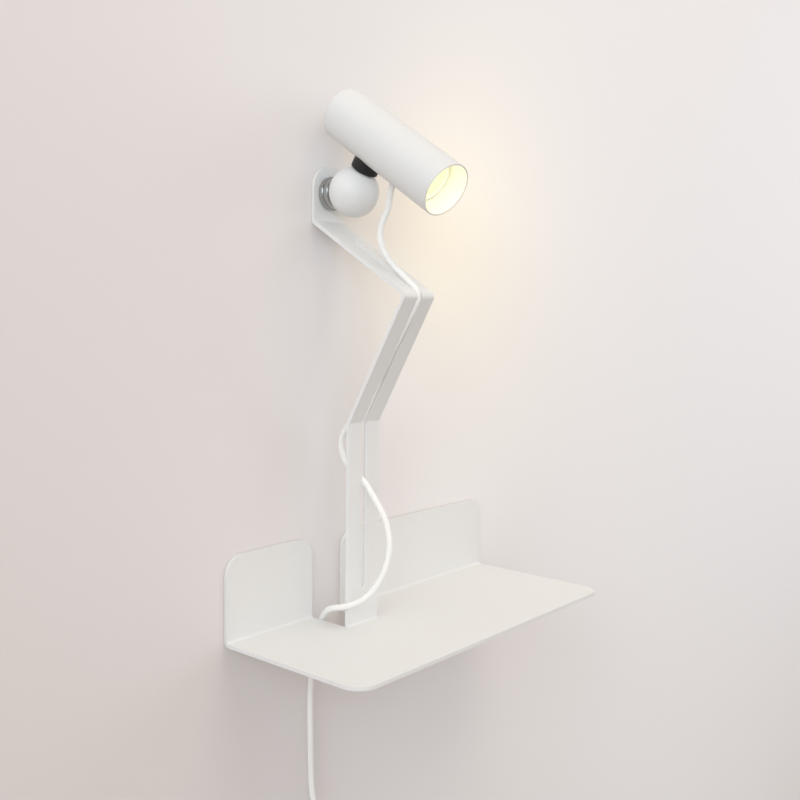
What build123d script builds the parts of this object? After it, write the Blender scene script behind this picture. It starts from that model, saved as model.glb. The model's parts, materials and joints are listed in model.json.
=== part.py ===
"""White wall light with a folded shelf, a magnetic ball joint and a corded spotlight.

Millimetres. The origin is the wall screw's hole at the back of the bracket's top tab.
+X runs to the right along the wall, +Z is up, and the light stands out from the wall towards -Y.
"""

import math
import os

from build123d import *

os.makedirs("parts", exist_ok=True)

# Folded sheet bracket
sheet = 3.0
inner_fold = 2.0
outer_fold = inner_fold + sheet
shelf_left = -116.0
shelf_right = 234.0
shelf_depth = 150.0
shelf_bottom = -373.0
flange_height = 75.0
corner_radius = 18.0
arm_width = 38.0
arm_standoff = 43.0
lower_bend_z = -193.4
upper_bend_y = -102.3
upper_bend_z = -86.6
tab_fold_z = -25.5
tab_top = 23.4
slot_width = 5.8
slot_bottom_z = -336.3
slot_top_y = -30.7
slot_cover = 15.0
tab_hole_radius = 6.1

# Wall base, lock ring and ball
screw_bore_radius = 2.5
screw_head_radius = 5.0
screw_head_pocket = 3.0
spigot_radius = 6.0
base_radius = 14.3
base_front = -8.0
base_edge = 1.2
neck_radius = 7.0
neck_front = -20.0
lock_ring_radius = 13.6
lock_ring_front = -13.0
lock_ring_edge = 0.9
ball_radius = 21.3
ball_reach = 31.4
ball_seat = -13.3
socket_clearance = 0.5
running_gap = 0.3
assembly_gap = 0.1
fit_gap = 0.05

# Magnet cup, measured up from the ball's centre along the lamp's upright
lamp_tilt = 32.9
cup_radius = 11.8
cup_rim = 20.4
cup_edge = 0.8
cup_pocket_radius = 9.6
cup_pocket_top = 25.4
liner_radius = 9.35
liner_thickness = 0.7
magnet_hole_radius = 3.6
magnet_bottom = 22.45
cup_screw_radius = 1.95
cup_screw_head_radius = 3.2
cup_screw_head = 2.0
nut_radius = 4.0
nut_thickness = 2.2

# Lamp tube, with stations counted forward from the cup along the tube's axis
tube_radius = 22.75
tube_wall = 1.5
tube_bore = tube_radius - tube_wall
tube_height = 49.63
tube_rear = -48.1
tube_front = 85.4
tube_rear_edge = 4.5
tube_lip = 0.6
cord_hole_angle = 12.0
cord_hole_station = 30.0
cord_hole_radius = 3.5
bush_radius = 4.4
bush_lip = 0.8
bush_inner_lip = 1.4
cord_stop_wall = 1.0

# Reflector bulb and its holder
bulb_radius = 17.5
bulb_front = 68.0
bulb_rim = 6.0
bulb_ring_length = 5.0
bulb_base_radius = 10.0
bulb_base_front = 38.0
bulb_base_rear = 22.0
lens_radius = 16.0
lens_depth = 1.8
lens_lip = 0.6
lens_dome = 1.6
pin_radius = 1.5
pin_head_radius = 2.5
pin_spread = 10.0
pin_length = 9.0
pin_head_length = 2.5
holder_radius = 14.0
holder_front = 20.5
holder_rear = 6.5
holder_edge = 1.0
pin_socket_gap = 0.2
pin_end_gap = 0.5
plate_thickness = 2.0
holder_screw_radius = 1.5
holder_screw_spread = 18.0
holder_screw_grip = 8.0
holder_screw_head_radius = 2.8
holder_screw_head = 2.0
wire_window_radius = 3.2
wire_window_reach = 17.0
terminal_width = 18.0
terminal_height = 12.0
terminal_length = 13.0
terminal_edge = 0.8
terminal_screw_radius = 2.1
terminal_screw_recess = 1.0
wire_radius = 1.0
wire_spread = 3.0
wire_bend = 2.5
wire_level = 17.4
wire_gap = 1.2
inlet_end_radius = 18.0

# Cord, with its put-away coil against the wall
cord = 5.2
cord_radius = cord / 2
cord_exit_run = 11.0
coil_turns = 6
coil_radius = 29.8
coil_step = 5.8
coil_layer = 5.8
coil_centre_x = -6.9
coil_centre_z = -674.0
coil_back_y = -4.5
coil_tail = 19.0
tie_width = 8.0
tie_thickness = 1.0
tie_slack = 1.0
tie_depth_slack = 0.6
tie_corner = 2.0

# Rocker switch on the cord
switch_x = -20.0
switch_y = -10.0
switch_top = -556.0
switch_length = 62.0
switch_width = 25.0
switch_half = 8.5
switch_corner = 8.0
switch_edge = 2.5
switch_wall = 2.0
switch_post_radius = 3.0
switch_screw_radius = 1.3
switch_screw_grip = 5.0
switch_screw_spread = 42.0
switch_screw_head = 0.8
rocker_radius = 10.7
rocker_width = 12.0
rocker_pivot_y = -15.9
rocker_tilt = 8.0
rocker_gap = 0.35
rocker_hollow = 2.9
rocker_edge = 0.5
rocker_tip_angle = 20.8
rocker_foot_angle = -28.0

# Two-pin plug
plug_pin_radius = 2.0
plug_pin_length = 19.0
plug_pin_spread = 18.6
plug_width = 35.0
plug_neck = 15.0
plug_thickness = 13.5
plug_length = 36.0
relief_length = 25.0
relief_ribs = 4
relief_top_radius = 3.6
relief_foot_radius = 5.6
relief_rib_step = 4.5
relief_groove = 2.0
relief_groove_depth = 2.0
plug_shoulder = 10.0
plug_corner = 4.0
plug_edge = 2.5
plug_pin_tip = 1.4

# Directions and planes of the tilted lamp
tilt = math.radians(lamp_tilt)
forward = Vector(0, -math.cos(tilt), -math.sin(tilt))
upward = Vector(0, -math.sin(tilt), math.cos(tilt))
ball_centre = Vector(0, -ball_reach, 0)
lamp_frame = Plane(origin=ball_centre, x_dir=forward, z_dir=upward)
tube_axis_start = lamp_frame.from_local_coords(Vector(0, 0, tube_height))
tube_axis = Axis(tube_axis_start, forward)
tube_section = Plane(origin=tube_axis_start, x_dir=forward, z_dir=(-1, 0, 0))
cup_axis = Axis(ball_centre, upward)
cup_section = Plane(origin=ball_centre, x_dir=forward, z_dir=(-1, 0, 0))
hole_angle = math.radians(cord_hole_angle)


def save(piece, name):
    """Label a finished piece and write it as its own node."""
    piece.part.label = name
    export_step(piece.part, f"parts/{name}.step")


def across_tube(station):
    """Plane square to the tube's axis, facing forward, with its Y axis up."""
    return Plane(
        origin=lamp_frame.from_local_coords(Vector(station, 0, tube_height)), x_dir=(1, 0, 0), z_dir=forward
    )


def above_ball(height):
    """Plane square to the cup's axis, facing up, at a height above the ball's centre."""
    return Plane(origin=lamp_frame.from_local_coords(Vector(0, 0, height)), x_dir=forward, z_dir=upward)


def in_tube(station, radius, side=0.0):
    """Point of the lamp at a radius on the cord hole's side, shifted sideways round the axis."""
    across = radius * math.sin(hole_angle) + side * math.cos(hole_angle)
    height = tube_height - radius * math.cos(hole_angle) + side * math.sin(hole_angle)
    return lamp_frame.from_local_coords(Vector(station, across, height))


cord_hole_out = (in_tube(0, 1) - in_tube(0, 0)).normalized()


def hole_plane(radius):
    """Plane square to the cord hole, facing out of the tube, at a radius from the tube's axis."""
    return Plane(origin=in_tube(cord_hole_station, radius), x_dir=forward, z_dir=cord_hole_out)


def turned(name, section, axis, outline):
    """Piece turned about an axis from a closed outline of straight lines."""
    with BuildPart() as piece:
        with BuildSketch(section):
            with BuildLine():
                Polyline(*outline, close=True)
            make_face()
        revolve(axis=axis)
    save(piece, name)


def corner_radii(points):
    """Largest round for each corner of a cord's route: 0.45 of the shorter run at each corner."""
    runs = [finish - start for start, finish in zip(points, points[1:])]
    radii = []
    for run, following in zip(runs, runs[1:]):
        half_turn = math.radians(run.get_angle(following) / 2)
        radii.append(0.45 * min(run.length, following.length) / math.tan(half_turn))
    return radii


def cord_tube(name, route):
    """Tube of one stretch of cord, with its bends and its volume printed for checking."""
    points = [Vector(*point) for point in route]
    radii = corner_radii(points)
    with BuildPart() as stretch:
        with BuildLine() as path:
            FilletPolyline(*points, radius=radii)
        with BuildSketch(Plane(origin=path.wire() @ 0, z_dir=path.wire() % 0)):
            Circle(cord_radius)
        sweep(path=path.wire())
    save(stretch, name)
    length = path.wire().length
    due = math.pi * cord_radius**2 * length
    print(f"{name}: length {length:.1f}, volume {stretch.part.volume / due:.4f} of section x length")
    print("  bend radii", [round(radius, 1) for radius in radii])
    return length


# Shelf, flanges and arm are one folded sheet: two wings and a narrow arm on one shelf plane
shelf_front_y = -shelf_depth
flange_top = shelf_bottom + flange_height
wing_back = [(shelf_front_y, shelf_bottom), (0, shelf_bottom), (0, flange_top)]
arm_back = [
    (shelf_front_y, shelf_bottom),
    (-arm_standoff, shelf_bottom),
    (-arm_standoff, lower_bend_z),
    (upper_bend_y, upper_bend_z),
    (0, tab_fold_z),
    (0, tab_top),
]
top_slope = math.atan2(tab_fold_z - upper_bend_z, -upper_bend_y)
slot_top_z = tab_fold_z + slot_top_y * math.tan(top_slope)
cover_y = slot_cover * math.sin(top_slope)
cover_z = slot_cover * math.cos(top_slope)

with BuildPart() as shelf_bracket:
    for wing_start, wing_end in ((shelf_left, -arm_width / 2), (arm_width / 2, shelf_right)):
        with BuildSketch(Plane.YZ.offset(wing_start)):
            with BuildLine():
                FilletPolyline(*wing_back, radius=outer_fold)
                offset(amount=sheet, side=Side.LEFT)
            make_face()
        extrude(amount=wing_end - wing_start)
    with BuildSketch(Plane.YZ):
        with BuildLine():
            FilletPolyline(*arm_back, radius=[outer_fold, outer_fold, inner_fold, outer_fold])
            offset(amount=sheet, side=Side.LEFT)
        make_face()
    extrude(amount=arm_width / 2, both=True)
    front_corners = shelf_bracket.edges().filter_by(Axis.Z).group_by(Axis.Y)[0]
    fillet(front_corners, radius=corner_radius)
    upright_ends = shelf_bracket.edges().filter_by(Axis.Y)
    flange_corners = upright_ends.filter_by(lambda edge: abs(edge.center().Z - flange_top) < 0.1)
    fillet(flange_corners, radius=corner_radius)
    tab_corners = shelf_bracket.edges().filter_by(Axis.Y).group_by(Axis.Z)[-1]
    fillet(tab_corners, radius=arm_width / 2 - fit_gap)
    with BuildSketch(Plane.YZ):
        with BuildLine():
            Polyline(
                (-arm_standoff + slot_cover, slot_bottom_z),
                (-arm_standoff - slot_cover, slot_bottom_z),
                (-arm_standoff - slot_cover, lower_bend_z),
                (upper_bend_y - slot_cover, upper_bend_z),
                (slot_top_y - cover_y, slot_top_z + cover_z),
                (slot_top_y + cover_y, slot_top_z - cover_z),
                (upper_bend_y + slot_cover, upper_bend_z - slot_cover),
                (-arm_standoff + slot_cover, lower_bend_z),
                close=True,
            )
        make_face()
    extrude(amount=slot_width / 2, both=True, mode=Mode.SUBTRACT)
    with BuildSketch(Plane(origin=(0, -arm_standoff, slot_bottom_z), z_dir=(0, -1, 0))):
        Circle(slot_width / 2)
    extrude(amount=slot_cover, both=True, mode=Mode.SUBTRACT)
    top_normal = (0, -math.sin(top_slope), math.cos(top_slope))
    with BuildSketch(Plane(origin=(0, slot_top_y, slot_top_z), z_dir=top_normal)):
        Circle(slot_width / 2)
    extrude(amount=slot_cover, both=True, mode=Mode.SUBTRACT)
    with BuildSketch(Plane.XZ):
        Circle(tab_hole_radius)
    extrude(amount=slot_cover, both=True, mode=Mode.SUBTRACT)
save(shelf_bracket, "shelf_bracket")

# Turned base on the wall screw: a spigot in the tab, a flange on it and a neck for the ball
sink_front = neck_front + screw_head_pocket
sink_back = sink_front + screw_head_radius - screw_bore_radius
with BuildPart() as wall_base:
    with BuildSketch(Plane.XY) as base_outline:
        with BuildLine():
            Polyline(
                (screw_bore_radius, 0),
                (spigot_radius, 0),
                (spigot_radius, -sheet),
                (base_radius, -sheet),
                (base_radius, base_front),
                (neck_radius, base_front),
                (neck_radius, neck_front),
                (screw_head_radius, neck_front),
                (screw_head_radius, sink_front),
                (screw_bore_radius, sink_back),
                close=True,
            )
        make_face()
        fillet(base_outline.vertices().group_by(Axis.X)[-1], radius=base_edge)
    revolve(axis=Axis.Y)
save(wall_base, "wall_base")

# Lock ring that jams the ball on the neck
with BuildPart() as lock_ring:
    with BuildSketch(Plane.XY) as ring_outline:
        with BuildLine():
            Polyline(
                (neck_radius + assembly_gap, base_front),
                (lock_ring_radius, base_front),
                (lock_ring_radius, lock_ring_front),
                (neck_radius + assembly_gap, lock_ring_front),
                close=True,
            )
        make_face()
        fillet(ring_outline.vertices().group_by(Axis.X)[-1], radius=lock_ring_edge)
    revolve(axis=Axis.Y)
save(lock_ring, "lock_ring")

# Steel ball with a flat seat and a blind socket for the neck
seat_radius = math.sqrt(ball_radius**2 - (ball_seat + ball_reach) ** 2)
seat_angle = math.degrees(math.atan2(ball_seat + ball_reach, seat_radius))
socket_radius = neck_radius + running_gap
socket_end = neck_front - socket_clearance
with BuildPart() as ball:
    with BuildSketch(Plane.XY):
        with BuildLine():
            CenterArc((0, -ball_reach), ball_radius, -90, 90 + seat_angle)
            Polyline(
                (seat_radius, ball_seat),
                (socket_radius, ball_seat),
                (socket_radius, socket_end),
                (0, socket_end),
                (0, -ball_reach - ball_radius),
            )
        make_face()
    revolve(axis=Axis.Y)
save(ball, "ball")

# Black cup on the ball, with its ring magnet and soft liner
with BuildPart() as magnet_cup:
    with BuildSketch(above_ball(cup_rim)):
        Circle(cup_radius)
    extrude(amount=tube_height - cup_rim)
    fillet(magnet_cup.edges().sort_by(cup_axis)[0], radius=cup_edge)
    with BuildSketch(across_tube(-cup_radius)):
        Circle(tube_radius + fit_gap)
    extrude(amount=2 * cup_radius, mode=Mode.SUBTRACT)
    with BuildSketch(above_ball(cup_rim)):
        Circle(cup_pocket_radius)
    extrude(amount=cup_pocket_top - cup_rim, mode=Mode.SUBTRACT)
    with BuildSketch(above_ball(cup_rim)):
        Circle(cup_screw_radius + assembly_gap)
    extrude(amount=tube_height - cup_rim, mode=Mode.SUBTRACT)
save(magnet_cup, "magnet_cup")

magnet_top = cup_pocket_top - 2 * assembly_gap
turned(
    "cup_magnet",
    cup_section,
    cup_axis,
    [
        (magnet_hole_radius, magnet_bottom),
        (liner_radius, magnet_bottom),
        (liner_radius, magnet_top),
        (magnet_hole_radius, magnet_top),
    ],
)

liner_inside = ball_radius + running_gap
liner_outside = liner_inside + liner_thickness
with BuildPart() as cup_liner:
    with BuildSketch(cup_section):
        with BuildLine():
            edge_low = math.degrees(math.acos(liner_radius / liner_inside))
            edge_high = math.degrees(math.acos(liner_radius / liner_outside))
            hole_low = math.degrees(math.acos(magnet_hole_radius / liner_inside))
            hole_high = math.degrees(math.acos(magnet_hole_radius / liner_outside))
            under = CenterArc((0, 0), liner_inside, edge_low, hole_low - edge_low)
            over = CenterArc((0, 0), liner_outside, edge_high, hole_high - edge_high)
            Line(under @ 0, over @ 0)
            Line(under @ 1, over @ 1)
        make_face()
    revolve(axis=cup_axis)
save(cup_liner, "cup_liner")

# Screw and curved nut that hold the tube on the cup
nut_top = tube_height - tube_bore + nut_thickness
turned(
    "cup_screw",
    cup_section,
    cup_axis,
    [
        (0, cup_pocket_top - cup_screw_head),
        (cup_screw_head_radius, cup_pocket_top - cup_screw_head),
        (cup_screw_head_radius, cup_pocket_top),
        (cup_screw_radius, cup_pocket_top),
        (cup_screw_radius, nut_top),
        (0, nut_top),
    ],
)

with BuildPart() as saddle_nut:
    with BuildSketch(across_tube(-nut_radius)):
        Circle(tube_bore)
    extrude(amount=2 * nut_radius)
    with BuildSketch(above_ball(nut_top)):
        Circle(nut_radius)
    extrude(amount=-2 * nut_thickness, mode=Mode.INTERSECT)
    with BuildSketch(above_ball(nut_top)):
        Circle(cup_screw_radius + fit_gap)
    extrude(amount=-2 * nut_thickness, mode=Mode.SUBTRACT)
save(saddle_nut, "saddle_nut")

# Deep-drawn lamp tube, closed and rounded at the rear
with BuildPart() as lamp_tube:
    with BuildSketch(tube_section) as tube_outline:
        with BuildLine():
            Polyline(
                (tube_rear, 0),
                (tube_rear, tube_radius),
                (tube_front, tube_radius),
                (tube_front, tube_bore),
                (tube_rear + tube_wall, tube_bore),
                (tube_rear + tube_wall, 0),
                close=True,
            )
        make_face()
        rear_corner = tube_outline.vertices().sort_by_distance((tube_rear, tube_radius))[0]
        fillet(rear_corner, radius=tube_rear_edge)
        bore_corner = tube_outline.vertices().sort_by_distance((tube_rear + tube_wall, tube_bore))[0]
        fillet(bore_corner, radius=tube_rear_edge - tube_wall)
        fillet(tube_outline.vertices().group_by(Axis.X)[-1], radius=tube_lip)
    revolve(axis=tube_axis)
    with BuildSketch(above_ball(tube_height - tube_bore)):
        Circle(cup_screw_radius + assembly_gap)
    extrude(amount=tube_wall, both=True, mode=Mode.SUBTRACT)
    with BuildSketch(hole_plane(tube_bore)):
        Circle(cord_hole_radius)
    extrude(amount=tube_wall, both=True, mode=Mode.SUBTRACT)
save(lamp_tube, "lamp_tube")

# Reflector bulb with its lens and two pins
lens_seat = bulb_front - lens_depth
with BuildPart() as bulb_body:
    with BuildSketch(tube_section):
        with BuildLine():
            Line((bulb_base_rear, 0), (bulb_base_rear, bulb_base_radius))
            Line((bulb_base_rear, bulb_base_radius), (bulb_base_front, bulb_base_radius))
            TangentArc(
                (bulb_base_front, bulb_base_radius), (bulb_front - bulb_rim, bulb_radius), tangent=(1, 0)
            )
            Polyline(
                (bulb_front - bulb_rim, bulb_radius),
                (bulb_front, bulb_radius),
                (bulb_front, lens_radius + assembly_gap),
                (lens_seat, lens_radius + assembly_gap),
                (lens_seat, 0),
                (bulb_base_rear, 0),
            )
        make_face()
    revolve(axis=tube_axis)
save(bulb_body, "bulb_body")

lens_edge = bulb_front - lens_lip
dome_radius = (lens_radius**2 + lens_dome**2) / (2 * lens_dome)
dome_span = math.degrees(math.asin(lens_radius / dome_radius))
with BuildPart() as bulb_lens:
    with BuildSketch(tube_section):
        with BuildLine():
            dome = CenterArc((lens_edge + lens_dome - dome_radius, 0), dome_radius, 0, dome_span)
            Polyline(dome @ 1, (lens_seat, lens_radius), (lens_seat, 0), dome @ 0)
        make_face()
    revolve(axis=tube_axis)
save(bulb_lens, "bulb_lens")

with BuildPart() as bulb_pins:
    with BuildSketch(across_tube(bulb_base_rear - pin_length)):
        with GridLocations(pin_spread, 0, 2, 1):
            Circle(pin_radius)
    extrude(amount=pin_length)
    with BuildSketch(across_tube(bulb_base_rear - pin_length)):
        with GridLocations(pin_spread, 0, 2, 1):
            Circle(pin_head_radius)
    extrude(amount=pin_head_length)
save(bulb_pins, "bulb_pins")

# Ceramic lampholder on a spring plate across the tube
with BuildPart() as lampholder:
    with BuildSketch(across_tube(holder_rear)):
        Circle(holder_radius)
    extrude(amount=holder_front - holder_rear)
    fillet(lampholder.edges(), radius=holder_edge)
    with BuildSketch(across_tube(holder_front)):
        with GridLocations(pin_spread, 0, 2, 1):
            Circle(pin_head_radius + pin_socket_gap)
    extrude(amount=bulb_base_rear - holder_front - pin_length - pin_end_gap, mode=Mode.SUBTRACT)
    with BuildSketch(across_tube(holder_rear)):
        with GridLocations(0, holder_screw_spread, 1, 2):
            Circle(holder_screw_radius + fit_gap)
    extrude(amount=holder_screw_grip + pin_end_gap, mode=Mode.SUBTRACT)
save(lampholder, "lampholder")

plate_rear = holder_rear - plate_thickness
with BuildPart() as holder_plate:
    with BuildSketch(across_tube(plate_rear)):
        Circle(tube_bore - assembly_gap)
        with GridLocations(0, holder_screw_spread, 1, 2):
            Circle(holder_screw_radius + assembly_gap, mode=Mode.SUBTRACT)
        with PolarLocations(wire_window_reach, 1, start_angle=cord_hole_angle - 90):
            Circle(wire_window_radius, mode=Mode.SUBTRACT)
    extrude(amount=plate_thickness)
save(holder_plate, "holder_plate")

with BuildPart() as holder_screws:
    with BuildSketch(across_tube(plate_rear - holder_screw_head)):
        with GridLocations(0, holder_screw_spread, 1, 2):
            Circle(holder_screw_head_radius)
    extrude(amount=holder_screw_head)
    with BuildSketch(across_tube(plate_rear)):
        with GridLocations(0, holder_screw_spread, 1, 2):
            Circle(holder_screw_radius)
    extrude(amount=plate_thickness + holder_screw_grip)
save(holder_screws, "holder_screws")

# Terminal block behind the plate, and the two wires that reach it from the cord
terminal_rear = plate_rear - terminal_length
terminal_middle = in_tube(terminal_rear + terminal_length / 2, 0)
terminal_plane = Plane(origin=terminal_middle, x_dir=forward, z_dir=upward)
with BuildPart() as terminal_block:
    with BuildSketch(across_tube(terminal_rear)):
        Rectangle(terminal_width, terminal_height)
    extrude(amount=terminal_length)
    fillet(terminal_block.edges(), radius=terminal_edge)
    with BuildSketch(terminal_plane):
        with GridLocations(0, terminal_width / 2, 1, 2):
            Circle(terminal_screw_radius + assembly_gap)
    extrude(amount=terminal_height, mode=Mode.SUBTRACT)
save(terminal_block, "terminal_block")

with BuildPart() as terminal_screws:
    with BuildSketch(terminal_plane):
        with GridLocations(0, terminal_width / 2, 1, 2):
            Circle(terminal_screw_radius)
    extrude(amount=terminal_height / 2 - terminal_screw_recess)
save(terminal_screws, "terminal_screws")

for wire_name, side in (("live_wire", wire_spread / 2), ("neutral_wire", -wire_spread / 2)):
    wire_route = [
        in_tube(cord_hole_station, inlet_end_radius, side),
        in_tube(cord_hole_station, 13.0, side),
        in_tube(cord_hole_station - 6.5, 14.5, side),
        in_tube(cord_hole_station - 10.0, wire_level, side),
        in_tube(plate_rear - 7.0, wire_level, side),
        in_tube(plate_rear - 8.0, terminal_height / 2 + wire_gap, side),
    ]
    with BuildPart() as wire:
        with BuildLine() as wire_path:
            FilletPolyline(*wire_route, radius=wire_bend)
        with BuildSketch(Plane(origin=wire_path.wire() @ 0, z_dir=wire_path.wire() % 0)):
            Circle(wire_radius)
        sweep(path=wire_path.wire())
    save(wire, wire_name)

# Bush in the cord hole, the cord's end inside it and the crimped ring that stops it pulling out
bush_face = tube_radius + bush_lip
bush_inside = tube_bore - bush_inner_lip
with BuildPart() as cord_bush:
    with BuildSketch(hole_plane(bush_inside)):
        Circle(bush_radius)
    extrude(amount=bush_face - bush_inside)
    with BuildSketch(across_tube(cord_hole_station)):
        Circle(tube_radius + fit_gap)
        Circle(tube_bore - fit_gap, mode=Mode.SUBTRACT)
    extrude(amount=bush_radius, both=True, mode=Mode.SUBTRACT)
    with BuildSketch(hole_plane(bush_inside)):
        Circle(cord_hole_radius - assembly_gap)
    extrude(amount=bush_face - bush_inside)
    with BuildSketch(hole_plane(bush_inside)):
        Circle(cord_radius + fit_gap)
    extrude(amount=bush_face - bush_inside, mode=Mode.SUBTRACT)
save(cord_bush, "cord_bush")

with BuildPart() as cord_inlet:
    with BuildSketch(hole_plane(inlet_end_radius)):
        Circle(cord_radius)
    extrude(amount=bush_face - inlet_end_radius)
save(cord_inlet, "cord_inlet")

with BuildPart() as cord_stop:
    with BuildSketch(hole_plane(inlet_end_radius + assembly_gap)):
        Circle(cord_radius + cord_stop_wall)
        Circle(cord_radius + fit_gap, mode=Mode.SUBTRACT)
    extrude(amount=bush_inside - inlet_end_radius - 2 * assembly_gap)
save(cord_stop, "cord_stop")

# Ring that centres the bulb in the tube
with BuildPart() as bulb_ring:
    with BuildSketch(across_tube(bulb_front - bulb_rim)):
        Circle(tube_bore - assembly_gap)
        Circle(bulb_radius + assembly_gap, mode=Mode.SUBTRACT)
    extrude(amount=bulb_ring_length)
save(bulb_ring, "bulb_ring")

# Cord from the lamp to the arm's slot
cord_exit = in_tube(cord_hole_station, bush_face)
lamp_route = [
    cord_exit,
    cord_exit + cord_hole_out * cord_exit_run,
    (8.0, -63.4, -15.0),
    (6.0, -57.6, -29.5),
    (3.0, -61.5, -45.5),
    (1.0, -73.0, -60.5),
    (0.0, -88.5, -70.8),
    (0.0, -95.6, -76.15),
]
# Cord in the slot over the upper bend, behind the arm and out again
arm_route = [
    (0.0, -95.6, -76.15),
    (0.0, -102.7, -81.5),
    (0.0, -104.5, -91.0),
    (0.0, -95.4, -106.5),
    (0.0, -80.3, -131.0),
    (0.0, -64.5, -160.5),
    (0.0, -45.0, -184.0),
    (0.0, -25.0, -198.5),
    (0.0, -15.6, -214.5),
    (0.0, -18.6, -230.8),
    (0.0, -31.5, -241.0),
    (0.0, -47.0, -248.0),
    (0.0, -52.75, -254.5),
]
# Cord in a loop before the arm, round its left edge, down the notch and on to the switch
loop_route = [
    (0.0, -52.75, -254.5),
    (0.0, -58.5, -261.0),
    (-0.4, -71.0, -277.5),
    (-3.0, -77.4, -299.5),
    (-9.6, -74.9, -322.5),
    (-18.5, -64.8, -341.5),
    (-25.8, -49.5, -350.0),
    (-25.4, -35.0, -353.0),
    (-18.5, -22.5, -360.5),
    (-11.5, -9.5, -374.0),
    (-13.5, -5.5, -391.0),
    (-19.5, -5.0, -407.0),
    (-23.3, -5.0, -432.0),
    (-21.5, -5.2, -482.0),
    (-20.8, -6.2, -510.0),
    (-20.3, -8.0, -527.0),
    (switch_x, switch_y, -543.0),
    (switch_x, switch_y, switch_top),
]
coil_out = coil_radius + coil_turns / 4 * coil_step
coil_inner = coil_radius - coil_turns / 4 * coil_step
coil_start_x = coil_centre_x - coil_out
switch_bottom = switch_top - switch_length
lead_end = coil_centre_z + cord
# Cord from the switch down to the coil's left side
lead_route = [
    (switch_x, switch_y, switch_bottom),
    (switch_x, switch_y, switch_bottom - 8.0),
    (switch_x - 7.5, switch_y + 1.0, switch_bottom - 17.0),
    (coil_start_x + 6.5, coil_back_y - 1.3, switch_bottom - 29.0),
    (coil_start_x, coil_back_y, switch_bottom - 41.0),
    (coil_start_x, coil_back_y, lead_end),
]
stretches = [
    ("cord_lamp", lamp_route),
    ("cord_arm", arm_route),
    ("cord_loop", loop_route),
    ("cord_lead", lead_route),
]
straight_length = sum(cord_tube(name, route) for name, route in stretches)


def coil_point(turn):
    """Place on the coil: in over the back layer, out again over the front layer."""
    reversal = coil_turns / 2
    radius = coil_out - coil_step * min(turn, coil_turns - turn)
    climb = min(max(2 * (turn - reversal) + 0.5, 0.0), 1.0)
    angle = math.pi + 2 * math.pi * turn
    x = coil_centre_x + radius * math.cos(angle)
    return Vector(x, coil_back_y - coil_layer * climb, coil_centre_z + radius * math.sin(angle))


def coil_way(turn):
    """Direction of the cord round the coil, sloping to the front layer where the spiral reverses."""
    angle = math.pi + 2 * math.pi * turn
    reversal = coil_turns / 2
    slope = 2 * coil_layer / (math.pi * coil_inner) if turn == reversal else 0.0
    return Vector(-math.sin(angle), -slope, math.cos(angle)).normalized()


def biarc(start, start_way, finish, finish_way):
    """Two arcs that leave and arrive in the given directions and meet smoothly."""
    gap = finish - start
    square = 2 * (1 - start_way.dot(finish_way))
    middle = 2 * gap.dot(start_way + finish_way)
    reach = (math.sqrt(middle**2 + 4 * square * gap.dot(gap)) - middle) / (2 * square)
    before = start + start_way * reach
    after = finish - finish_way * reach
    meet = (before + after) / 2
    TangentArc(start, meet, tangent=start_way)
    TangentArc(meet, finish, tangent=(after - before).normalized())


half_turns = [0.25 + 0.5 * step for step in range(2 * coil_turns)]
coil_stops = sorted([0.0, coil_turns / 2, float(coil_turns)] + half_turns)
with BuildPart() as cord_coil:
    with BuildLine() as coil_path:
        Line(coil_point(0) - coil_way(0) * cord, coil_point(0))
        for turn, following in zip(coil_stops, coil_stops[1:]):
            biarc(coil_point(turn), coil_way(turn), coil_point(following), coil_way(following))
        Line(coil_point(coil_turns), coil_point(coil_turns) + coil_way(coil_turns) * coil_tail)
    with BuildSketch(Plane(origin=coil_path.wire() @ 0, z_dir=coil_path.wire() % 0)):
        Circle(cord_radius)
    sweep(path=coil_path.wire())
save(cord_coil, "cord_coil")

coil_wire = coil_path.wire()
coil_length = coil_wire.length
coil_samples = 700
spaced = [coil_wire @ (step / coil_samples) for step in range(coil_samples + 1)]
apart = math.ceil(4 * cord / (coil_length / coil_samples))
least = min(
    (spaced[first] - spaced[second]).length
    for first in range(len(spaced))
    for second in range(first + apart, len(spaced))
)
coil_share = cord_coil.part.volume / (math.pi * cord_radius**2 * coil_length)
print(f"cord_coil: length {coil_length:.1f}, volume {coil_share:.4f} of section x length")
print(f"  least gap between turns {least - cord:.2f}")
print(f"whole cord {straight_length + coil_length + switch_length:.0f}")

# Tie round the coil's turns on its right side
tie_inner_x = coil_radius - coil_step - cord_radius - tie_slack
tie_outer_x = coil_radius + coil_step + cord_radius + tie_slack
tie_long = tie_outer_x - tie_inner_x
tie_deep = coil_layer + cord + 2 * tie_depth_slack
tie_x = coil_centre_x + (tie_inner_x + tie_outer_x) / 2
tie_y = coil_back_y - coil_layer / 2
with BuildPart() as cord_tie:
    with BuildSketch(Plane.XY.offset(coil_centre_z - tie_width / 2)):
        with Locations((tie_x, tie_y)):
            band = RectangleRounded(tie_long, tie_deep, tie_corner)
            offset(band, amount=tie_thickness)
            RectangleRounded(tie_long, tie_deep, tie_corner, mode=Mode.SUBTRACT)
    extrude(amount=tie_width)
save(cord_tie, "cord_tie")

# Two-part switch case with a rocker in its front window
switch_z = switch_top - switch_length / 2


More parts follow.
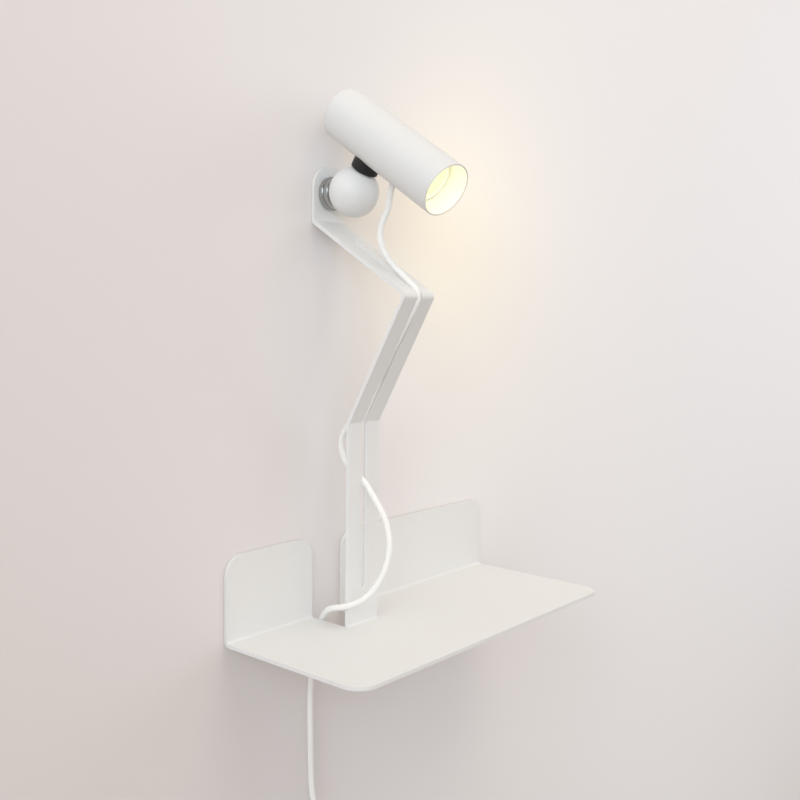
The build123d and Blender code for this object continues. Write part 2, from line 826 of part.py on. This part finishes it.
def switch_shell(name, facing, screw_depth, window):
    """Half of the switch's case, open at the joint, with a post for each of its two screws."""
    joint = Plane(origin=(switch_x, switch_y, switch_z), x_dir=(1, 0, 0), z_dir=(0, facing, 0))
    with BuildPart() as shell:
        with BuildSketch(joint):
            RectangleRounded(switch_width, switch_length, switch_corner)
        extrude(amount=switch_half)
        outer_face = shell.faces().filter_by(Axis.Y).sort_by(Axis.Y)[0 if facing < 0 else -1]
        fillet(outer_face.edges(), radius=switch_edge)
        with BuildSketch(joint):
            RectangleRounded(
                switch_width - 2 * switch_wall, switch_length - 2 * switch_wall, switch_corner - switch_wall
            )
            with GridLocations(0, switch_screw_spread, 1, 2):
                Circle(switch_post_radius, mode=Mode.SUBTRACT)
        extrude(amount=switch_half - switch_wall, mode=Mode.SUBTRACT)
        with BuildSketch(joint):
            with GridLocations(0, switch_screw_spread, 1, 2):
                Circle(switch_screw_radius + fit_gap)
        extrude(amount=screw_depth, mode=Mode.SUBTRACT)
        if window:
            with BuildSketch(joint):
                Rectangle(rocker_width + 2 * rocker_gap, 2 * (rocker_radius + rocker_gap))
            extrude(amount=switch_half, mode=Mode.SUBTRACT)
    save(shell, name)


switch_shell("switch_base", 1, switch_half, False)
switch_shell("switch_cover", -1, switch_screw_grip + assembly_gap, True)


def rocker_point(angle):
    """Point on the rocker's round ends, in the plane of its profile."""
    return (rocker_radius * math.cos(math.radians(angle)), rocker_radius * math.sin(math.radians(angle)))


rocker_end = rocker_tip_angle - rocker_foot_angle
rocker_plane = Plane(
    origin=(switch_x, rocker_pivot_y, switch_z),
    x_dir=(0, -math.sin(math.radians(rocker_tilt)), math.cos(math.radians(rocker_tilt))),
    z_dir=(1, 0, 0),
)
with BuildPart() as switch_rocker:
    with BuildSketch(rocker_plane):
        with BuildLine():
            CenterArc((0, 0), rocker_radius, rocker_foot_angle, rocker_end)
            Polyline(rocker_point(rocker_tip_angle), (0, rocker_hollow), rocker_point(180 - rocker_tip_angle))
            CenterArc((0, 0), rocker_radius, 180 - rocker_tip_angle, rocker_end)
            Line(rocker_point(180 - rocker_foot_angle), rocker_point(rocker_foot_angle))
        make_face()
    extrude(amount=rocker_width / 2, both=True)
    fillet(switch_rocker.edges().filter_by(Axis.X, reverse=True).filter_by(GeomType.LINE), radius=rocker_edge)
save(switch_rocker, "switch_rocker")

switch_back = Plane(origin=(switch_x, switch_y + switch_half, switch_z), x_dir=(1, 0, 0), z_dir=(0, -1, 0))
with BuildPart() as switch_screws:
    with BuildSketch(switch_back):
        with GridLocations(0, switch_screw_spread, 1, 2):
            Circle(2 * switch_screw_radius)
    extrude(amount=-switch_screw_head)
    with BuildSketch(switch_back):
        with GridLocations(0, switch_screw_spread, 1, 2):
            Circle(switch_screw_radius)
    extrude(amount=switch_half + switch_screw_grip)
save(switch_screws, "switch_screws")

# Plug: ribbed strain relief, tapered body and two round pins
plug_x = coil_start_x
plug_y = coil_back_y - coil_layer
relief_top = coil_centre_z - coil_tail
plug_top = relief_top - relief_length
plug_face = plug_top - plug_length
plug_front = Plane(origin=(plug_x, plug_y, 0), x_dir=(1, 0, 0), z_dir=(0, -1, 0))
relief_axis = Axis((plug_x, plug_y, 0), (0, 0, 1))
with BuildPart() as plug_relief:
    with BuildSketch(plug_front):
        with BuildLine():
            Polyline(
                (0, relief_top),
                (relief_top_radius, relief_top),
                (relief_foot_radius, plug_top),
                (0, plug_top),
                close=True,
            )
        make_face()
        for rib in range(relief_ribs):
            with Locations((relief_foot_radius, relief_top - (rib + 1) * relief_rib_step)):
                Rectangle(2 * relief_groove_depth, relief_groove, mode=Mode.SUBTRACT)
    revolve(axis=relief_axis)
save(plug_relief, "plug_relief")

with BuildPart() as plug_body:
    with BuildSketch(plug_front) as plug_outline:
        with BuildLine():
            Polyline(
                (-plug_neck / 2, plug_top),
                (plug_neck / 2, plug_top),
                (plug_width / 2, plug_top - 0.5 * plug_length),
                (plug_width / 2, plug_face),
                (-plug_width / 2, plug_face),
                (-plug_width / 2, plug_top - 0.5 * plug_length),
                close=True,
            )
        make_face()
        fillet(plug_outline.vertices().group_by(Axis.Y)[1], radius=plug_shoulder)
        fillet(plug_outline.vertices().group_by(Axis.Y)[0], radius=plug_corner)
    extrude(amount=plug_thickness / 2, both=True)
    long_edges = plug_body.edges().group_by(Axis.Y)
    fillet(long_edges[0] + long_edges[-1], radius=plug_edge)
save(plug_body, "plug_body")

with BuildPart() as plug_pins:
    with BuildSketch(Plane(origin=(plug_x, plug_y, plug_face), z_dir=(0, 0, -1))):
        with GridLocations(plug_pin_spread, 0, 2, 1):
            Circle(plug_pin_radius)
    extrude(amount=plug_pin_length)
    fillet(plug_pins.edges().group_by(Axis.Z)[0], radius=plug_pin_tip)
save(plug_pins, "plug_pins")
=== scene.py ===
"""Looks of a white wall light with a folded shelf and a spotlight on a magnetic ball joint.

Metres, in the part's own frame: the wall is the plane Y = 0, the light stands out towards -Y
and Z is up.
"""

import json
import math

import bmesh
import bpy
from mathutils import Matrix, Vector


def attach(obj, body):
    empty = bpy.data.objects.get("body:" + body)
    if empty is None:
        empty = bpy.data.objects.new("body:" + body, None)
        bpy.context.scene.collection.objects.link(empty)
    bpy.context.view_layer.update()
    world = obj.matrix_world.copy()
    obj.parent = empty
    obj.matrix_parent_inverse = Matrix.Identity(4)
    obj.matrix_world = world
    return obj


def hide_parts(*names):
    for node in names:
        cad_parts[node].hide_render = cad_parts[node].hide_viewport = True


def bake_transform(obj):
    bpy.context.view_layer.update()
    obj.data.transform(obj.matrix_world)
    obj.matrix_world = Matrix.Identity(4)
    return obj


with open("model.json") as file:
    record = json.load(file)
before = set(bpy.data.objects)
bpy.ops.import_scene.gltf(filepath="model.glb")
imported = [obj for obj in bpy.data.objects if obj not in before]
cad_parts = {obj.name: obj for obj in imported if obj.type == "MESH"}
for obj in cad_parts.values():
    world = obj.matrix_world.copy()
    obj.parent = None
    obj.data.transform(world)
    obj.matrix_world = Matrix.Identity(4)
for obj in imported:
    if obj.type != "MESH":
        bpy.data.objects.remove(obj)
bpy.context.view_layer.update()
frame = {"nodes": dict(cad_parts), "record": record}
nodes = frame["nodes"]
scene = bpy.context.scene

MM = 0.001

# Camera at the photograph's angle
EYE = Vector((-626.4, -613.9, -95.5)) * MM
EYE_TURN = math.radians(-49.84)
EYE_PITCH = math.radians(-5.38)
EYE_ROLL = math.radians(0.77)
EYE_LENS = 44.80
EYE_SENSOR = 36.0
EYE_NEAR = 10.0 * MM

camera = bpy.data.objects.new("camera", bpy.data.cameras.new("camera"))
camera.data.lens = EYE_LENS
camera.data.sensor_width = EYE_SENSOR
camera.data.clip_start = EYE_NEAR
camera.matrix_world = (
    Matrix.Translation(EYE)
    @ Matrix.Rotation(EYE_TURN, 4, "Z")
    @ Matrix.Rotation(math.pi / 2 + EYE_PITCH, 4, "X")
    @ Matrix.Rotation(EYE_ROLL, 4, "Z")
)
scene.collection.objects.link(camera)
scene.camera = camera
scene.view_settings.view_transform = "Standard"


class Shade:
    """A value in a finish's node tree. Arithmetic on it adds Math nodes."""

    def __init__(self, finish, socket):
        self.finish = finish
        self.socket = socket

    def math(self, operation, first, second=0.0):
        return self.finish.node("ShaderNodeMath", {"operation": operation}, {0: first, 1: second})

    def __add__(self, other):
        return self.math("ADD", self, other)

    def __sub__(self, other):
        return self.math("SUBTRACT", self, other)

    def __rsub__(self, other):
        return self.math("SUBTRACT", other, self)

    def __mul__(self, other):
        return self.math("MULTIPLY", self, other)

    def __pow__(self, other):
        return self.math("POWER", self, other)

    def __lt__(self, other):
        return self.math("LESS_THAN", self, other)

    __radd__ = __add__
    __rmul__ = __mul__

    def sine(self):
        return self.math("SINE", self)

    def largest(self, other):
        return self.math("MAXIMUM", self, other)


class Nodes:
    """Adds nodes to a node tree."""

    def __init__(self, tree):
        self.tree = tree

    def node(self, kind, settings, sockets, output=0):
        """Add a node: its settings first, then the values or links of its sockets."""
        made = self.tree.nodes.new(kind)
        for setting, value in settings.items():
            setattr(made, setting, value)
        for socket, value in sockets.items():
            self.feed(made.inputs[socket], value)
        return Shade(self, made.outputs[output])

    def feed(self, socket, value):
        """Link a value of the tree to a socket, or set the socket to a constant."""
        if isinstance(value, Shade):
            self.tree.links.new(value.socket, socket)
        else:
            socket.default_value = value

    def between(self, factor, first, second):
        """A colour between two others."""
        colours = {0: factor, 6: (*first, 1.0), 7: (*second, 1.0)}
        return self.node("ShaderNodeMix", {"data_type": "RGBA"}, colours, 2)

    def split(self, vector):
        """The three numbers of a vector."""
        first = self.node("ShaderNodeSeparateXYZ", {}, {0: vector})
        return [Shade(self, output) for output in first.socket.node.outputs]


class Finish(Nodes):
    """A procedural material around one Principled shader."""

    def __init__(self, name, **constants):
        self.material = bpy.data.materials.new(name)
        self.material.use_nodes = True
        super().__init__(self.material.node_tree)
        self.shader = self.tree.nodes["Principled BSDF"]
        self.drive(**constants)

    def drive(self, **sockets):
        """Feed the Principled shader's own sockets."""
        for socket, value in sockets.items():
            self.feed(self.shader.inputs[socket.replace("_", " ")], value)

    def place(self):
        return self.node("ShaderNodeTexCoord", {}, {}, "Object")

    def noise(self, scale, detail=2.0):
        sockets = {"Vector": self.place(), "Scale": scale, "Detail": detail}
        return self.node("ShaderNodeTexNoise", {}, sockets)

    def tint(self, mask, colour, share):
        """Colour the surface, down to a share of the colour where the mask is full."""
        self.drive(Base_Color=self.between(mask, colour, [share * channel for channel in colour]))

    def roughen(self, grain, roughness, spread):
        """Let the roughness vary with a grain, by a spread to either side."""
        self.drive(Roughness=roughness - spread + 2 * spread * grain)

    def raise_by(self, height, distance):
        """Bump the surface by a height field."""
        bump = {"Height": height, "Distance": distance}
        self.drive(Normal=self.node("ShaderNodeBump", {}, bump, "Normal"))


LATHE_PITCH = 0.32 * MM


def coated(name, colour, roughness, peel=0.03 * MM):
    """Powder coat: a slight orange peel with a fine grain in it."""
    finish = Finish(name)
    ripple = finish.noise(scale=620.0)
    grain = finish.noise(scale=3200.0, detail=1.0)
    finish.tint(finish.noise(scale=9.0, detail=3.0), colour, share=0.965)
    finish.roughen(grain, roughness, spread=0.06)
    finish.raise_by(0.7 * ripple + 0.3 * grain, peel)
    return finish.material


def moulded(name, colour, roughness):
    """Moulded plastic with the fine sparked grain of its tool."""
    finish = Finish(name)
    spark = finish.noise(scale=2400.0, detail=3.0)
    finish.tint(finish.noise(scale=30.0, detail=3.0), colour, share=0.96)
    finish.roughen(spark, roughness, spread=0.05)
    finish.raise_by(spark, 0.02 * MM)
    return finish.material


def turned_metal(name, colour, roughness):
    """Bright metal with the fine rings that a lathe leaves round the wall axis."""
    finish = Finish(name, Metallic=1.0)
    across, out, up = finish.split(finish.place())
    radius = (across * across + up * up) ** 0.5
    rings = ((radius + out) * (2 * math.pi / LATHE_PITCH)).sine()
    smear = finish.noise(scale=260.0, detail=3.0)
    finish.tint(smear, colour, share=0.86)
    finish.roughen(smear, roughness, spread=0.05)
    finish.raise_by(0.5 * rings + smear, 0.004 * MM)
    return finish.material


def plated(name, colour, roughness):
    """Plain plated steel with faint handling marks."""
    finish = Finish(name, Metallic=1.0)
    marks = finish.noise(scale=420.0, detail=4.0)
    finish.tint(marks, colour, share=0.85)
    finish.roughen(marks, roughness, spread=0.08)
    finish.raise_by(marks, 0.006 * MM)
    return finish.material


def unglazed(name, colour, roughness):
    """Unglazed lampholder ceramic with fine specks."""
    finish = Finish(name)
    specks = finish.noise(scale=1500.0, detail=4.0)
    finish.tint(specks, colour, share=0.88)
    finish.roughen(specks, roughness, spread=0.06)
    finish.raise_by(specks, 0.03 * MM)
    return finish.material


def braided(name, colour, roughness, carriers, pitch):
    """Woven textile sleeve: two sets of threads wound opposite ways.

    It reads the cord's own UV map, which holds metres along the cord and turns round it.
    """
    finish = Finish(name, Sheen_Weight=0.15)
    metres, turns = finish.split(finish.node("ShaderNodeUVMap", {"uv_map": "UVMap"}, {}))[:2]
    along = metres * (2 * math.pi / pitch)
    around = turns * (2 * math.pi * carriers)
    weave = (around + along).sine().largest((around - along).sine()) * 0.5 + 0.5
    fibre = finish.noise(scale=5200.0)
    # Painted shade: the gaps between the threads are painted darker, where shade falls in the
    # hollows of the weave
    finish.tint(1 - weave, colour, share=0.9)
    finish.roughen(fibre, roughness, spread=0.06)
    finish.raise_by(0.75 * weave + 0.25 * fibre, 0.12 * MM)
    return finish.material


def lit_lens(name, colour, glow, strength):
    """Frosted lens of a lit bulb."""
    finish = Finish(name, Base_Color=(*colour, 1.0), Roughness=0.35, Emission_Strength=strength)
    frost = finish.noise(scale=900.0, detail=3.0)
    dim = [0.92 * channel for channel in glow]
    finish.drive(Emission_Color=finish.between(frost, glow, dim))
    finish.raise_by(frost, 0.04 * MM)
    return finish.material


finishes = {
    "white_steel": coated("white coat on steel", (0.80, 0.80, 0.785), 0.5),
    # Painted shade: the lamp's coat is a darker copy of the bracket's white coat, toned down for
    # the light that falls on the tube
    "white_aluminium": coated("white coat on the lamp in painted shade", (0.755, 0.755, 0.742), 0.48),
    "turned_chrome": turned_metal("turned bright steel", (0.5, 0.5, 0.49), 0.2),
    "black_steel": coated("black coat", (0.007, 0.007, 0.0065), 0.5, peel=0.02 * MM),
    "nickel": plated("nickel plate", (0.66, 0.64, 0.6), 0.25),
    "zinc_steel": plated("zinc plate", (0.6, 0.61, 0.63), 0.35),
    "liner": moulded("soft black liner", (0.03, 0.03, 0.03), 0.8),
    "bulb_shell": moulded("bulb shell", (0.84, 0.83, 0.8), 0.35),
    "bulb_glass": lit_lens("lit bulb lens", (0.06, 0.055, 0.045), (1.0, 0.985, 0.56), strength=1.0),
    "ceramic": unglazed("holder ceramic", (0.84, 0.82, 0.77), 0.6),
    "white_plastic": moulded("white moulded plastic", (0.8, 0.8, 0.78), 0.45),
    "white_cord": braided(
        "white textile cord", (0.93, 0.92, 0.89), 0.78, carriers=12, pitch=4.2 * MM
    ),
    "cord_tie": moulded("soft pale tie", (0.72, 0.72, 0.7), 0.75),
    "live_wire": moulded("brown wire", (0.16, 0.07, 0.035), 0.4),
    "neutral_wire": moulded("blue wire", (0.03, 0.12, 0.42), 0.4),
}


def wear(piece, finish):
    """Give a piece one finish all over."""
    piece.data.materials.clear()
    piece.data.materials.append(finish)


for subpart in frame["record"]["subparts"]:
    wear(nodes[subpart["node"]], finishes[subpart["material_slot"]])


def shown(name, mesh):
    """Put a mesh into the scene as a piece at the origin."""
    piece = bpy.data.objects.new(name, mesh)
    scene.collection.objects.link(piece)
    return piece


# Cord, close to the route of its solids
CORD = 5.2 * MM
CORD_ORDER = 3
CORD_ROUNDNESS = 6
UPPER_FINENESS = 20
LOWER_FINENESS = 5
CORD_EXIT = Vector((4.897, -71.031, 6.030)) * MM
CORD_WAY = Vector((0.2079, 0.5313, -0.8213))
EXIT_RUN = 11.0 * MM
UPPER_ROUTE = [
    (8.0, -63.4, -15.0),
    (5.0, -56.5, -29.5),
    (2.0, -60.5, -45.5),
    (1.0, -73.0, -60.5),
    (0.0, -88.5, -71.5),
    (0.0, -94.8, -77.1),
    (0.0, -99.7, -80.1),
    (0.0, -102.6, -85.1),
    (0.0, -102.6, -90.9),
    (0.0, -99.8, -95.9),
    (0.0, -91.0, -109.5),
    (0.0, -77.6, -131.0),
    (0.0, -60.0, -160.5),
    (0.0, -41.0, -184.0),
    (0.0, -27.0, -197.5),
    (0.0, -17.8, -213.0),
    (0.0, -20.8, -228.3),
    (0.0, -33.5, -238.5),
    (0.0, -47.0, -245.5),
    (0.0, -52.75, -252.0),
    (0.0, -58.5, -259.0),
    (0.6, -72.2, -276.5),
    (-2.0, -78.9, -299.5),
    (-8.6, -76.4, -322.5),
    (-17.8, -66.0, -341.5),
    (-25.8, -49.5, -350.0),
    (-26.6, -34.0, -353.4),
    (-20.0, -20.5, -361.0),
    (-13.0, -7.5, -375.0),
    (-14.2, -5.5, -391.0),
    (-19.5, -5.0, -407.0),
    (-23.3, -5.0, -432.0),
    (-22.5, -5.2, -482.0),
    (-22.2, -5.6, -512.0),
    (-21.8, -6.6, -530.0),
    (-20.0, -10.0, -546.0),
    (-20.0, -10.0, -556.0),
]
LOWER_ROUTE = [
    (-20.0, -10.0, -618.0),
    (-20.0, -10.0, -626.0),
    (-27.5, -9.0, -635.0),
    (-38.9, -5.8, -647.0),
    (-45.4, -4.5, -659.0),
    (-45.4, -4.5, -668.8),
]
# Put-away coil, in millimetres as the routes are
COIL_MIDDLE = Vector((-6.9, 0.0, -674.0))
COIL_TURNS = 6
COIL_OUTSIDE = 38.5
COIL_STEP = 5.8
COIL_BACK = -4.5
COIL_LAYER = 5.8
COIL_CLIMB_TURNS = 0.5
COIL_POINTS = 16
COIL_TAIL = 19.0


def coil_route():
    """Turns of the put-away coil: inwards on the back layer, outwards on the front one."""
    for step in range(COIL_TURNS * COIL_POINTS + 1):
        turn = step / COIL_POINTS
        radius = COIL_OUTSIDE - COIL_STEP * min(turn, COIL_TURNS - turn)
        climb = (turn - COIL_TURNS / 2) / COIL_CLIMB_TURNS + 0.5
        layer = COIL_BACK - COIL_LAYER * min(max(climb, 0.0), 1.0)
        angle = math.pi + 2 * math.pi * turn
        spoke = Vector((math.cos(angle), 0.0, math.sin(angle))) * radius
        yield COIL_MIDDLE + spoke + Vector((0.0, layer, 0.0))


coil_points = list(coil_route())
tail_end = coil_points[-1] - Vector((0.0, 0.0, COIL_TAIL))
exit_points = [CORD_EXIT, CORD_EXIT + CORD_WAY * EXIT_RUN]
upper_points = exit_points + [Vector(point) * MM for point in UPPER_ROUTE]
lower_points = [Vector(point) * MM for point in [*LOWER_ROUTE, *coil_points, tail_end]]


def cord_tube(name, route, fineness):
    """A cord's tube round a NURBS spline, the points down its middle and how far along each is."""
    curve = bpy.data.curves.new(name, "CURVE")
    curve.dimensions = "3D"
    spline = curve.splines.new("NURBS")
    spline.points.add(len(route) - 1)
    for control, point in zip(spline.points, route):
        control.co = (*point, 1.0)
    spline.order_u = CORD_ORDER
    spline.use_endpoint_u = True
    spline.resolution_u = fineness
    drawn = bpy.data.objects.new(name, curve)
    line = [vertex.co.copy() for vertex in bpy.data.meshes.new_from_object(drawn).vertices]
    curve.bevel_depth = CORD / 2
    curve.bevel_resolution = CORD_ROUNDNESS
    tube = bpy.data.meshes.new_from_object(drawn)
    bpy.data.objects.remove(drawn)
    along = [0.0]
    for before, after in zip(line, line[1:]):
        along.append(along[-1] + (after - before).length)
    last = len(line) - 1
    for corner in tube.uv_layers["UVMap"].data:
        corner.uv.x = along[round(corner.uv.x * last)]
    for face in tube.polygons:
        face.use_smooth = True
    return tube, line, along


def cord_piece(name, tube, line, first, last):
    """The stretch of a cord's tube between two of its rings."""
    ring = len(tube.vertices) // len(line)
    cut = bmesh.new()
    cut.from_mesh(tube)
    outside = [vertex for vertex in cut.verts if not first <= vertex.index // ring <= last]
    bmesh.ops.delete(cut, geom=outside, context="VERTS")
    mesh = bpy.data.meshes.new(name)
    cut.to_mesh(mesh)
    cut.free()
    piece = shown(name, mesh)
    wear(piece, finishes["white_cord"])
    return piece


def ring_at(along, stretch):
    """The ring of a cord that is nearest to a length along it."""
    return min(range(len(along)), key=lambda ring: abs(along[ring] - stretch))


# The upper cord is cut into three stretches, at the spin and tilt lengths along it
SPIN_STRETCH = 33.0 * MM
TILT_STRETCH = 64.0 * MM
upper_tube, upper_line, upper_along = cord_tube("cord_upper", upper_points, UPPER_FINENESS)
spin_end = ring_at(upper_along, SPIN_STRETCH)
tilt_end = ring_at(upper_along, TILT_STRETCH)
cord_top = cord_piece("cord_top", upper_tube, upper_line, 0, spin_end)
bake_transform(cord_top)
cord_middle = cord_piece("cord_middle", upper_tube, upper_line, spin_end, tilt_end)
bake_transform(cord_middle)
cord_main = cord_piece("cord_main", upper_tube, upper_line, tilt_end, len(upper_line) - 1)
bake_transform(cord_main)
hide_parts("cord_lamp", "cord_arm", "cord_loop")

lower_tube, lower_line, lower_along = cord_tube("cord_lower", lower_points, LOWER_FINENESS)
cord_tail = cord_piece("cord_tail", lower_tube, lower_line, 0, len(lower_line) - 1)
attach(cord_tail, "bracket")
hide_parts("cord_lead", "cord_coil")

# Folded sheet with the softened edges that its coat gives it, and a tube with a rounded lip
SHEET_EDGE = 0.45 * MM
LIP_EDGE = 0.65 * MM
LIP_REACH = 0.1 * MM
EDGE_STEPS = 3
SHARP = math.radians(40.0)
FLAT = math.radians(0.5)
SAME_POINT = 0.001 * MM
LARGE_FACES_FIRST = 100
BALL = Vector((0.0, -31.4, 0.0)) * MM
TUBE_WAY = Vector((0.0, -0.8396, -0.5432))
TUBE_FRONT = 85.4 * MM


def on_lip(line):
    """Is an edge in the plane of the tube's mouth?"""
    return all((end.co - BALL).dot(TUBE_WAY) > TUBE_FRONT - LIP_REACH for end in line.verts)


def softened(name, node, edge, body, slot, picked=None):
    """Put a copy of a solid in its place, with its sharp edges or the picked ones rounded."""
    shape = bmesh.new()
    shape.from_mesh(nodes[node].data)
    bmesh.ops.remove_doubles(shape, verts=shape.verts, dist=SAME_POINT)
    bmesh.ops.dissolve_limit(
        shape, angle_limit=FLAT, verts=shape.verts, edges=shape.edges, delimit={"NORMAL"}
    )
    sharp = [line for line in shape.edges if line.is_manifold and line.calc_face_angle() > SHARP]
    if picked:
        sharp = [line for line in sharp if picked(line)]
    bmesh.ops.bevel(
        shape,
        geom=sharp,
        offset=edge,
        segments=EDGE_STEPS,
        profile=0.5,
        affect="EDGES",
        material=-1,
        clamp_overlap=True,
    )
    for face in shape.faces:
        face.smooth = True
    mesh = bpy.data.meshes.new(name)
    shape.to_mesh(mesh)
    shape.free()
    piece = shown(name, mesh)
    piece.modifiers.new("even_light", "WEIGHTED_NORMAL").weight = LARGE_FACES_FIRST
    wear(piece, finishes[slot])
    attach(piece, body)
    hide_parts(node)


softened("bracket_sheet", "shelf_bracket", SHEET_EDGE, "bracket", "white_steel")
softened("tube_shell", "lamp_tube", LIP_EDGE, "spotlight", "white_aluminium", on_lip)

# Wall and floor
STAGE_ROUGHNESS = 0.9
WALL_BACK = 0.6 * MM
WALL_MIDDLE = 0.4
WALL_SPAN = 6.0
# Painted light and shade on the wall: the colour runs from the darker, warmer left one to the
# lighter right one, standing in for light that falls more on the right
WALL_SHADED_LEFT = (0.72, 0.67, 0.65)
WALL_LIT_RIGHT = (0.885, 0.876, 0.882)
WALL_LIGHT_RAMP_START = -0.62
WALL_LIGHT_RAMP_END = 0.5
WALL_LIGHT_RAMP_SLANT = 0.35
BACK_GAP = 6.0 * MM
FLOOR_COLOUR = (0.56, 0.545, 0.53)
FLOOR_LEVEL = -1.7
FLOOR_SPAN = 8.0


def stage_sheet(name, finish, place):
    """A plain flat sheet to stand the light against, one metre square until it is placed."""
    sheet = bmesh.new()
    bmesh.ops.create_grid(sheet, x_segments=1, y_segments=1, size=0.5)
    mesh = bpy.data.meshes.new(name)
    sheet.to_mesh(mesh)
    sheet.free()
    mesh.transform(place)
    piece = shown(name, mesh)
    wear(piece, finish.material)


def wall_paint():
    """Pale paint that is clear from behind, with painted light: it is darker and warmer to the left
    and lighter to the right, as if more light falls on the right.

    It is also clear to shadow rays and to rays from the narrow gap behind the part, so that the
    backs of the flanges and the tab are lit.
    """
    finish = Finish("wall", Roughness=STAGE_ROUGHNESS)
    across, up = finish.split(finish.place())[::2]
    # Painted light: this ramp between the left and right colours stands in for light falling more
    # on the right of the wall
    painted_light_ramp = finish.node(
        "ShaderNodeMapRange",
        {"interpolation_type": "SMOOTHSTEP"},
        {0: across + WALL_LIGHT_RAMP_SLANT * up, 1: WALL_LIGHT_RAMP_START, 2: WALL_LIGHT_RAMP_END},
    )
    finish.drive(Base_Color=finish.between(painted_light_ramp, WALL_SHADED_LEFT, WALL_LIT_RIGHT))
    behind = finish.node("ShaderNodeNewGeometry", {}, {}, "Backfacing")
    shadowing = finish.node("ShaderNodeLightPath", {}, {}, "Is Shadow Ray")
    in_gap = finish.node("ShaderNodeLightPath", {}, {}, "Ray Length") < BACK_GAP
    see_through = behind.largest(shadowing).largest(in_gap)
    painted = Shade(finish, finish.shader.outputs[0])
    clear = finish.node("ShaderNodeBsdfTransparent", {}, {})
    seen = finish.node("ShaderNodeMixShader", {}, {0: see_through, 1: painted, 2: clear})
    finish.feed(finish.tree.nodes["Material Output"].inputs["Surface"], seen)
    return finish


stage_sheet(
    "wall",
    wall_paint(),
    Matrix.Translation((0.0, WALL_BACK, WALL_MIDDLE))
    @ Matrix.Rotation(math.pi / 2, 4, "X")
    @ Matrix.Scale(WALL_SPAN, 4),
)
stage_sheet(
    "floor",
    Finish("floor", Base_Color=(*FLOOR_COLOUR, 1.0), Roughness=STAGE_ROUGHNESS),
    Matrix.Translation((0.0, 0.0, FLOOR_LEVEL)) @ Matrix.Scale(FLOOR_SPAN, 4),
)

# Room light, with a darker room in the metal's reflections
ROOM_COLOUR = (1.0, 0.9, 0.8)
ROOM_MIRRORED = (0.25, 0.25, 0.25)
ROOM_STRENGTH = 0.68
world = bpy.data.worlds.new("room")
scene.world = world
world.use_nodes = True
room = Nodes(world.node_tree)
surround = world.node_tree.nodes["Background"]
mirrored = room.node("ShaderNodeLightPath", {}, {}, "Is Glossy Ray")
room.feed(surround.inputs["Color"], room.between(mirrored, ROOM_COLOUR, ROOM_MIRRORED))
room.feed(surround.inputs["Strength"], ROOM_STRENGTH)


def aimed(name, lamp, power, colour, place, target):
    """Hang a lamp at a place and turn it to a point."""
    lamp.energy = power
    lamp.color = colour
    holder = bpy.data.objects.new(name, lamp)
    way = Vector(target) - Vector(place)
    turn = way.to_track_quat("-Z", "Y").to_matrix().to_4x4()
    holder.matrix_world = Matrix.Translation(place) @ turn
    holder.visible_camera = False
    scene.collection.objects.link(holder)
    return holder


def soft_light(name, size, power, colour, place, target, beam=180.0):
    """A large square lamp with a beam of so many degrees."""
    lamp = bpy.data.lights.new(name, "AREA")
    lamp.size = size
    lamp.spread = math.radians(beam)
    aimed(name, lamp, power, colour, place, target)


MIDDLE = (0.05, -0.05, -0.2)
RIGHT_WALL = (0.9, 0.0, -0.2)
soft_light("key", 1.6, 15.6, (1.0, 0.91, 0.8), (0.1, -1.3, 2.0), MIDDLE)
soft_light("left", 1.0, 3.7, (0.76, 0.91, 1.0), (-2.1, -0.8, 0.7), MIDDLE, beam=75.0)
soft_light("front", 1.4, 11.0, (0.68, 0.78, 1.0), (-1.5, -2.2, 0.3), MIDDLE)
soft_light("right", 1.4, 4.0, (0.7, 0.82, 1.0), (2.0, -1.1, 0.3), RIGHT_WALL, beam=110.0)

# Light of the bulb in the tube
BULB_SIZE = 4.0 * MM
BULB_POWER = 0.0145
BULB_COLOUR = (1.0, 0.93, 0.52)
BULB_PLACE = (0.0, -0.1230, -0.0002)
bulb = bpy.data.lights.new("bulb", "POINT")
bulb.shadow_soft_size = BULB_SIZE
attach(aimed("bulb", bulb, BULB_POWER, BULB_COLOUR, BULB_PLACE, MIDDLE), "spotlight")

# Its warm spill on the wall
SPILL_SIZE = 30.0 * MM
SPILL_CONE = math.radians(150.0)
SPILL_POWER = 0.41
SPILL_COLOUR = (1.0, 0.84, 0.3)
SPILL_PLACE = (0.15, -0.19, -0.005)
SPILL_TARGET = (0.24, 0.0, -0.04)
spill = bpy.data.lights.new("spill", "SPOT")
spill.spot_size = SPILL_CONE
spill.spot_blend = 1.0
spill.shadow_soft_size = SPILL_SIZE
aimed("spill", spill, SPILL_POWER, SPILL_COLOUR, SPILL_PLACE, SPILL_TARGET)
